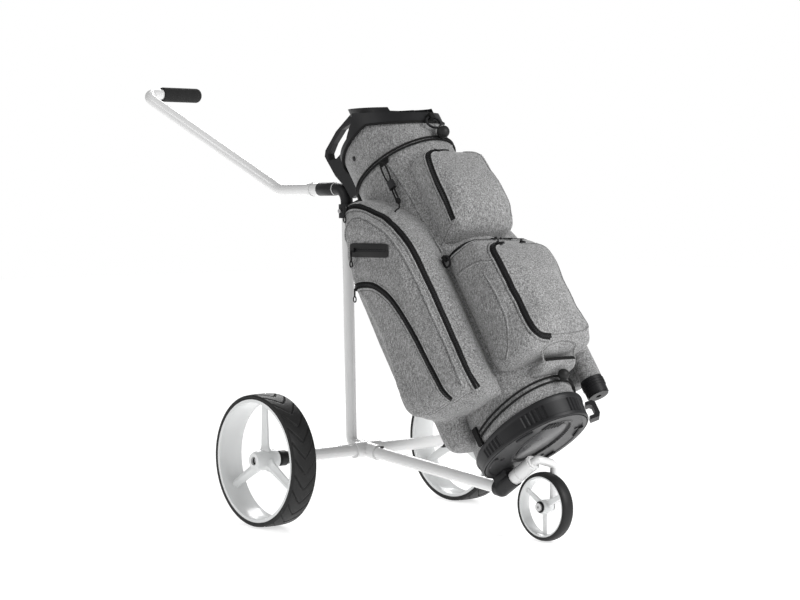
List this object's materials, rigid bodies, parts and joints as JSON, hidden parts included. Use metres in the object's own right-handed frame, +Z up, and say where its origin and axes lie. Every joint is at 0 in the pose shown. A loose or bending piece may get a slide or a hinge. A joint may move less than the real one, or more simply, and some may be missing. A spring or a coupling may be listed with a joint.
{
  "type": "golf bag on push cart",
  "caption": "Padded golf bag with club wells and zipped pockets, strapped to a three-wheeled push cart with a turning foam-gripped handle.",
  "frame": {"origin": "on the floor, at half of the overall length, in the middle plane of the cart", "axes": "+X forwards to the small wheel, +Y to the left of someone pushing it, +Z up"},
  "size_m": [1.4048, 0.637, 0.999],
  "materials": {
    "frame_white": "gloss white paint",
    "wheel_white": "gloss white",
    "tyre": "moulded tread",
    "steel": "plain",
    "moulded_black": "fine moulded grain",
    "well_black": "soft touch",
    "base_grey": "moulded grain",
    "foam": "closed-cell foam",
    "rubber_foot": "smooth",
    "fabric_grey": "heather grey woven polyester",
    "webbing": "woven tape",
    "elastic": "braided elastic cover"
  },
  "bodies": {
    "cart": {"bag_body": "fabric_grey", "base_feet": "rubber_foot", "base_plate": "base_grey", "boot": "moulded_black", "boot_handle": "moulded_black", "bracket_screws": "steel", "bungee_cord": "elastic", "centre_junction": "frame_white", "club_dividers": "well_black", "crook_sleeve": "moulded_black", "flap_pocket": "fabric_grey", "front_arm": "frame_white", "front_axle_bolt": "steel", "front_tube": "frame_white", "front_zip_tapes": "webbing", "grab_handle": "moulded_black", "handle_socket": "frame_white", "lower_front_pocket": "fabric_grey", "lower_strap": "elastic", "lower_strap_knob": "rubber_foot", "main_tube": "frame_white", "purse_panel": "webbing", "rear_axle_pins": "steel", "rear_axle_tube": "frame_white", "ring_tabs": "webbing", "side_pocket_left": "fabric_grey", "side_pocket_right": "fabric_grey", "side_zip_tapes": "webbing", "strap_anchors": "webbing", "top_cuff": "moulded_black", "umbrella_cup": "moulded_black", "umbrella_sleeve": "fabric_grey", "upper_bracket": "moulded_black", "upper_front_pocket": "fabric_grey", "upper_strap": "elastic", "upper_strap_knob": "rubber_foot", "upright_tube": "frame_white"},
    "rear_wheel_left": {"rear_rim_left": "wheel_white", "rear_tyre_left": "tyre", "rear_bushes_left": "moulded_black"},
    "rear_wheel_right": {"rear_rim_right": "wheel_white", "rear_tyre_right": "tyre", "rear_bushes_right": "moulded_black"},
    "front_wheel": {"front_rim": "wheel_white", "front_tyre": "tyre", "front_bushes": "moulded_black"},
    "collar_left": {"release_collar_left": "moulded_black"},
    "collar_right": {"release_collar_right": "moulded_black"},
    "handle": {"handle_tube": "frame_white", "handle_plug": "moulded_black", "handle_grip": "foam"},
    "button": {"lock_button": "moulded_black", "button_leaf": "steel"},
    "purse_slider": {"purse_slider": "moulded_black"},
    "purse_pull": {"purse_pull": "webbing"},
    "upper_pull": {"side_pull_upper": "webbing"},
    "lower_pull": {"side_pull_lower": "webbing"},
    "d_ring": {"d_ring": "moulded_black"},
    "towel_ring": {"towel_ring": "moulded_black"},
    "cord_lock": {"cord_lock": "moulded_black"}
  },
  "joints": [
    {"name": "rear_left_spin", "type": "hinge", "parent": "cart", "child": "rear_wheel_left", "pos_m": [0.03959, 0.287, 0.145], "axis": [0, 1, 0], "continuous": true},
    {"name": "rear_right_spin", "type": "hinge", "parent": "cart", "child": "rear_wheel_right", "pos_m": [0.03959, -0.287, 0.145], "axis": [0, 1, 0], "continuous": true},
    {"name": "front_spin", "type": "hinge", "parent": "cart", "child": "front_wheel", "pos_m": [0.59359, 0.021, 0.072], "axis": [0, 1, 0], "continuous": true},
    {"name": "collar_left_slide", "type": "slide", "parent": "cart", "child": "collar_left", "axis": [0, -1, 0], "range_m": [0, 0.005], "stiffness_N_per_m": 600, "springref_m": -0.006},
    {"name": "collar_right_slide", "type": "slide", "parent": "cart", "child": "collar_right", "axis": [0, 1, 0], "range_m": [0, 0.005], "stiffness_N_per_m": 600, "springref_m": -0.006},
    {"name": "handle_turn", "type": "hinge", "parent": "cart", "child": "handle", "pos_m": [-0.15201, 0, 0.737], "axis": [1, 0, 0], "range_deg": [0, 180]},
    {"name": "button_press", "type": "slide", "parent": "cart", "child": "button", "axis": [0, 0, -1], "range_m": [0, 0.003], "stiffness_N_per_m": 900, "springref_m": -0.002},
    {"name": "purse_zip", "type": "slide", "parent": "cart", "child": "purse_slider", "axis": [1, 0, 0], "range_m": [0, 0.088]},
    {"name": "purse_pull_swing", "type": "hinge", "parent": "purse_slider", "child": "purse_pull", "pos_m": [0.23224, -0.1976, 0.601], "axis": [-1, 0, 0], "range_deg": [0, 80]},
    {"name": "upper_pull_swing", "type": "hinge", "parent": "cart", "child": "upper_pull", "pos_m": [0.17926, -0.1712, 0.69586], "axis": [-1, 0, 0], "range_deg": [0, 80]},
    {"name": "lower_pull_swing", "type": "hinge", "parent": "cart", "child": "lower_pull", "pos_m": [0.23734, -0.1924, 0.52033], "axis": [-1, 0, 0], "range_deg": [0, 80]},
    {"name": "d_ring_swing", "type": "hinge", "parent": "cart", "child": "d_ring", "pos_m": [0.42725, -0.104, 0.5857], "axis": [-0.829, 0, -0.5592], "range_deg": [0, 70]},
    {"name": "towel_ring_swing", "type": "hinge", "parent": "cart", "child": "towel_ring", "pos_m": [0.26863, 0, 0.88883], "axis": [0, -1, 0], "range_deg": [0, 80]},
    {"name": "cord_lock_slide", "type": "slide", "parent": "cart", "child": "cord_lock", "axis": [-0.5592, 0, 0.829], "range_m": [-0.022, 0.04]}
  ]
}
